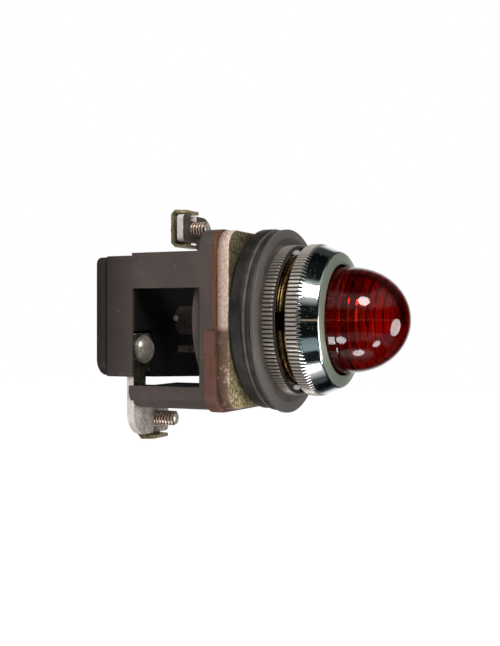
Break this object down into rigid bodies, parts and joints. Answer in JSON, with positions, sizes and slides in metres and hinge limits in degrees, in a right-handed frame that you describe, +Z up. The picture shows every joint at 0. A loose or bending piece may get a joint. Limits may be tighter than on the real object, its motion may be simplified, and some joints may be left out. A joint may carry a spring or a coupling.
{
  "type": "panel pilot light",
  "caption": "Heavy-duty panel indicating light: domed lens in a knurled bezel, threaded bushing with ring nut and gaskets, open moulded cage with lamp socket and screw terminals behind",
  "frame": {"origin": "On the axis of the threaded bushing, in the plane where the panel's rear face seats on the thick rear gasket", "axes": "+Y points to the rear, from the lens through the panel to the cage; +Z is up; +X completes a right-handed frame, so the lens looks along -Y"},
  "size_m": [0.043, 0.0689, 0.056],
  "materials": {
    "lens_red": "moulded deep red, translucent, polished dome with prism rings inside",
    "chrome_plate": "bright plated, turned and knurled",
    "zinc_yellow": "die cast, yellow chromate, dull gold",
    "rubber_black": "fine turned lines, satin",
    "washer_steel": "dark oxide, shallow light bevel",
    "washer_pale": "thin pale ring",
    "fibre_brown": "pressed fibre, sheared edge",
    "phenolic_black": "moulded, dark grey-brown sheen",
    "tinned_brass": "stamped, tin plated",
    "brass_olive": "stamped, dull olive brass",
    "steel_bright": "machined or headed, bright",
    "screw_steel": "rolled thread, plated",
    "lamp_glass": "clear drawn glass",
    "ceramic_tube": "coated tube"
  },
  "bodies": {
    "base": {"rear_gasket": "rubber_black", "mounting_bushing": "zinc_yellow", "fibre_insulator": "fibre_brown", "cage": "phenolic_black", "rear_block": "phenolic_black", "rear_cover": "phenolic_black", "terminal_lower": "tinned_brass", "terminal_upper": "tinned_brass", "rivet_lower": "steel_bright", "rivet_upper": "steel_bright", "rivet_washers": "steel_bright", "cage_screws": "steel_bright", "cover_screws": "steel_bright", "lamp_glass": "lamp_glass", "lamp_base": "steel_bright", "socket_shell": "brass_olive", "socket_insulator": "phenolic_black", "contact_plunger": "brass_olive", "contact_spring": "steel_bright", "contact_pin": "steel_bright", "contact_rivet": "steel_bright", "contact_strap": "brass_olive", "series_resistor": "ceramic_tube", "resistor_tabs": "brass_olive"},
    "panel_clamp": {"front_washer": "washer_steel", "thin_gasket": "rubber_black", "thin_washer": "washer_pale"},
    "ring_nut": {"ring_nut": "chrome_plate"},
    "lens_unit": {"lens": "lens_red", "lens_gasket": "rubber_black"},
    "bezel": {"bezel": "chrome_plate"},
    "clamp_lower": {"clamp_lower": "brass_olive"},
    "screw_lower": {"screw_lower": "screw_steel"},
    "clamp_upper": {"clamp_upper": "brass_olive"},
    "screw_upper": {"screw_upper": "screw_steel"}
  },
  "joints": [
    {"name": "panel_clamp_slide", "type": "slide", "parent": "base", "child": "panel_clamp", "axis": [0, -1, 0], "range_m": [0, 0.00229]},
    {"name": "ring_nut_turn", "type": "hinge", "parent": "panel_clamp", "child": "ring_nut", "pos_m": [0, 0, 0], "axis": [0, -1, 0], "range_deg": [0, 648]},
    {"name": "lens_unit_slide", "type": "slide", "parent": "base", "child": "lens_unit", "axis": [0, -1, 0], "range_m": [0, 0.00445]},
    {"name": "bezel_turn", "type": "hinge", "parent": "lens_unit", "child": "bezel", "pos_m": [0, 0, 0], "axis": [0, -1, 0], "range_deg": [0, 1260]},
    {"name": "clamp_lower_slide", "type": "slide", "parent": "base", "child": "clamp_lower", "axis": [0, 1, 0], "range_m": [0, 0.00238]},
    {"name": "screw_lower_turn", "type": "hinge", "parent": "clamp_lower", "child": "screw_lower", "pos_m": [-0.0093, 0.03, -0.0232], "axis": [0, 1, 0], "range_deg": [0, 1080]},
    {"name": "clamp_upper_slide", "type": "slide", "parent": "base", "child": "clamp_upper", "axis": [0, 1, 0], "range_m": [-0.00139, 0.00099]},
    {"name": "screw_upper_turn", "type": "hinge", "parent": "clamp_upper", "child": "screw_upper", "pos_m": [0.0093, 0.03, 0.0232], "axis": [0, 1, 0], "range_deg": [-630, 450]}
  ],
  "couplings": [
    {"joint": "ring_nut_turn", "follows": "panel_clamp_slide", "rad_per_m": 4947.4},
    {"joint": "bezel_turn", "follows": "lens_unit_slide", "rad_per_m": 4947.4},
    {"joint": "screw_lower_turn", "follows": "clamp_lower_slide", "rad_per_m": 7915.8},
    {"joint": "screw_upper_turn", "follows": "clamp_upper_slide", "rad_per_m": 7915.8}
  ]
}
